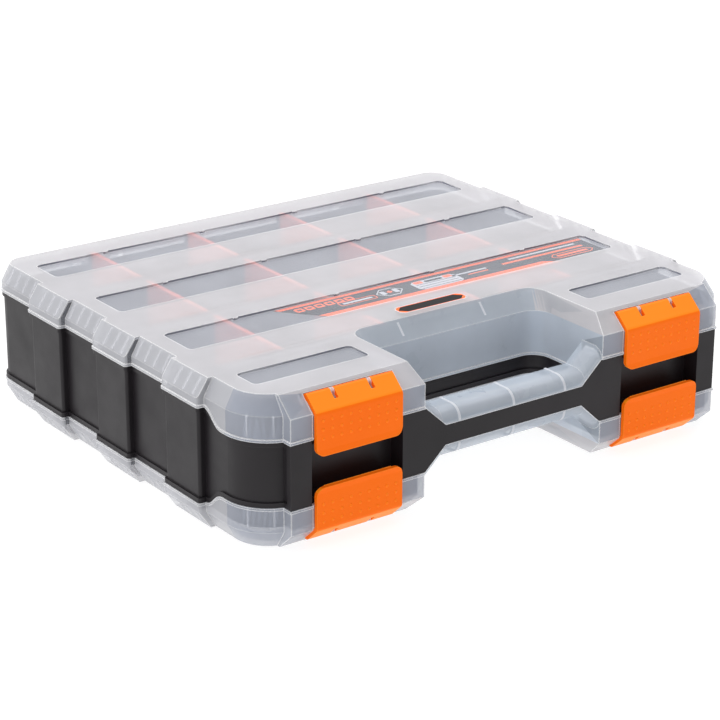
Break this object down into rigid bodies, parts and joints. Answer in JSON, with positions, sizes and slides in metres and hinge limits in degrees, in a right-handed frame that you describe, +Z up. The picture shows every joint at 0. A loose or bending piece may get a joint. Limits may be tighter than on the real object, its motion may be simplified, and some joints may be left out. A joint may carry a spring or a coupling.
{
  "type": "parts organizer",
  "caption": "Double-sided portable parts organizer: black divided tray between two translucent hinged lids, orange latches and dividers, and a front carrying handle.",
  "frame": {"origin": "middle of the closed case's lower face, halfway between its front and back", "axes": "+X along the width, +Y towards the lid hinges, so the handle and the latches face -Y, and +Z up through both lids"},
  "size_m": [0.321, 0.2732, 0.08],
  "materials": {
    "tray_black": "fine moulded texture, satin",
    "lid_clear": "translucent polypropylene, frosted bands and clearer windows",
    "latch_orange": "satin moulded plastic",
    "divider_orange": "satin moulded plastic",
    "plate_black": "glossy plate with an orange edge",
    "label_film": "printed film",
    "pin_steel": "drawn steel wire"
  },
  "bodies": {
    "tray": {"tray": "tray_black", "upper_hinge_pins": "pin_steel", "lower_hinge_pins": "pin_steel", "upper_divider_row1_1": "divider_orange", "upper_divider_row1_2": "divider_orange", "upper_divider_row1_3": "divider_orange", "upper_divider_row1_4": "divider_orange", "upper_divider_row2_1": "divider_orange", "upper_divider_row2_2": "divider_orange", "upper_divider_row2_3": "divider_orange", "upper_divider_row2_4": "divider_orange", "upper_divider_row3_1": "divider_orange", "upper_divider_row3_2": "divider_orange", "upper_divider_row3_3": "divider_orange", "upper_divider_row3_4": "divider_orange", "lower_divider_row1_1": "divider_orange", "lower_divider_row1_2": "divider_orange", "lower_divider_row1_3": "divider_orange", "lower_divider_row1_4": "divider_orange", "lower_divider_row2_1": "divider_orange", "lower_divider_row2_2": "divider_orange", "lower_divider_row2_3": "divider_orange", "lower_divider_row2_4": "divider_orange", "lower_divider_row3_1": "divider_orange", "lower_divider_row3_2": "divider_orange", "lower_divider_row3_3": "divider_orange", "lower_divider_row3_4": "divider_orange"},
    "upper_lid": {"upper_lid": "lid_clear", "name_plate": "plate_black", "label_strip": "label_film"},
    "lower_lid": {"lower_lid": "lid_clear"},
    "upper_right_latch": {"upper_right_latch": "latch_orange"},
    "upper_left_latch": {"upper_left_latch": "latch_orange"},
    "lower_right_latch": {"lower_right_latch": "latch_orange"},
    "lower_left_latch": {"lower_left_latch": "latch_orange"}
  },
  "joints": [
    {"name": "upper_lid_hinge", "type": "hinge", "parent": "tray", "child": "upper_lid", "pos_m": [0, 0.1333, 0.0653], "axis": [-1, 0, 0], "range_deg": [0, 180]},
    {"name": "lower_lid_hinge", "type": "hinge", "parent": "tray", "child": "lower_lid", "pos_m": [0, 0.1333, 0.0147], "axis": [1, 0, 0], "range_deg": [0, 180]},
    {"name": "upper_right_latch_hinge", "type": "hinge", "parent": "upper_lid", "child": "upper_right_latch", "pos_m": [0.099, -0.1266, 0.07654], "axis": [-1, 0, 0], "range_deg": [0, 90]},
    {"name": "upper_left_latch_hinge", "type": "hinge", "parent": "upper_lid", "child": "upper_left_latch", "pos_m": [-0.099, -0.1266, 0.07654], "axis": [-1, 0, 0], "range_deg": [0, 90]},
    {"name": "lower_right_latch_hinge", "type": "hinge", "parent": "lower_lid", "child": "lower_right_latch", "pos_m": [0.099, -0.1266, 0.00346], "axis": [1, 0, 0], "range_deg": [0, 90]},
    {"name": "lower_left_latch_hinge", "type": "hinge", "parent": "lower_lid", "child": "lower_left_latch", "pos_m": [-0.099, -0.1266, 0.00346], "axis": [1, 0, 0], "range_deg": [0, 90]}
  ]
}
